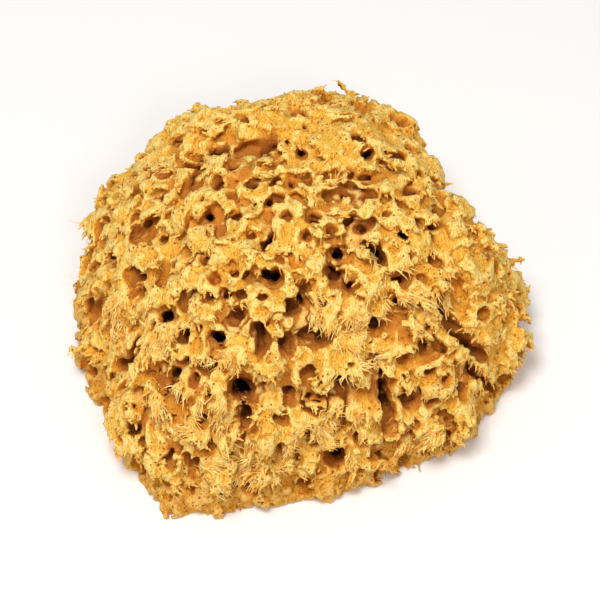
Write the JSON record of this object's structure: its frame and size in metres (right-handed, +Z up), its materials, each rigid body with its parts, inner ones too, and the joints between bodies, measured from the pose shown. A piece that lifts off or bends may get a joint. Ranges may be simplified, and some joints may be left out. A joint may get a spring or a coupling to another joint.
{
  "type": "sea sponge",
  "caption": "Domed natural bath sponge riddled with round channels and frayed lumps, cut flat underneath so that it rests level.",
  "frame": {"origin": "middle of the flat cut that the sponge rests on", "axes": "+Z up out of the flat cut, -Y towards the picture's camera, +X to the picture's right"},
  "size_m": [0.1608, 0.1519, 0.0874],
  "materials": {
    "sponge": "dry, fibrous and matte: pale yellow tufts over golden walls and brown channels"
  },
  "bodies": {
    "root": {"sponge": "sponge"}
  },
  "joints": []
}
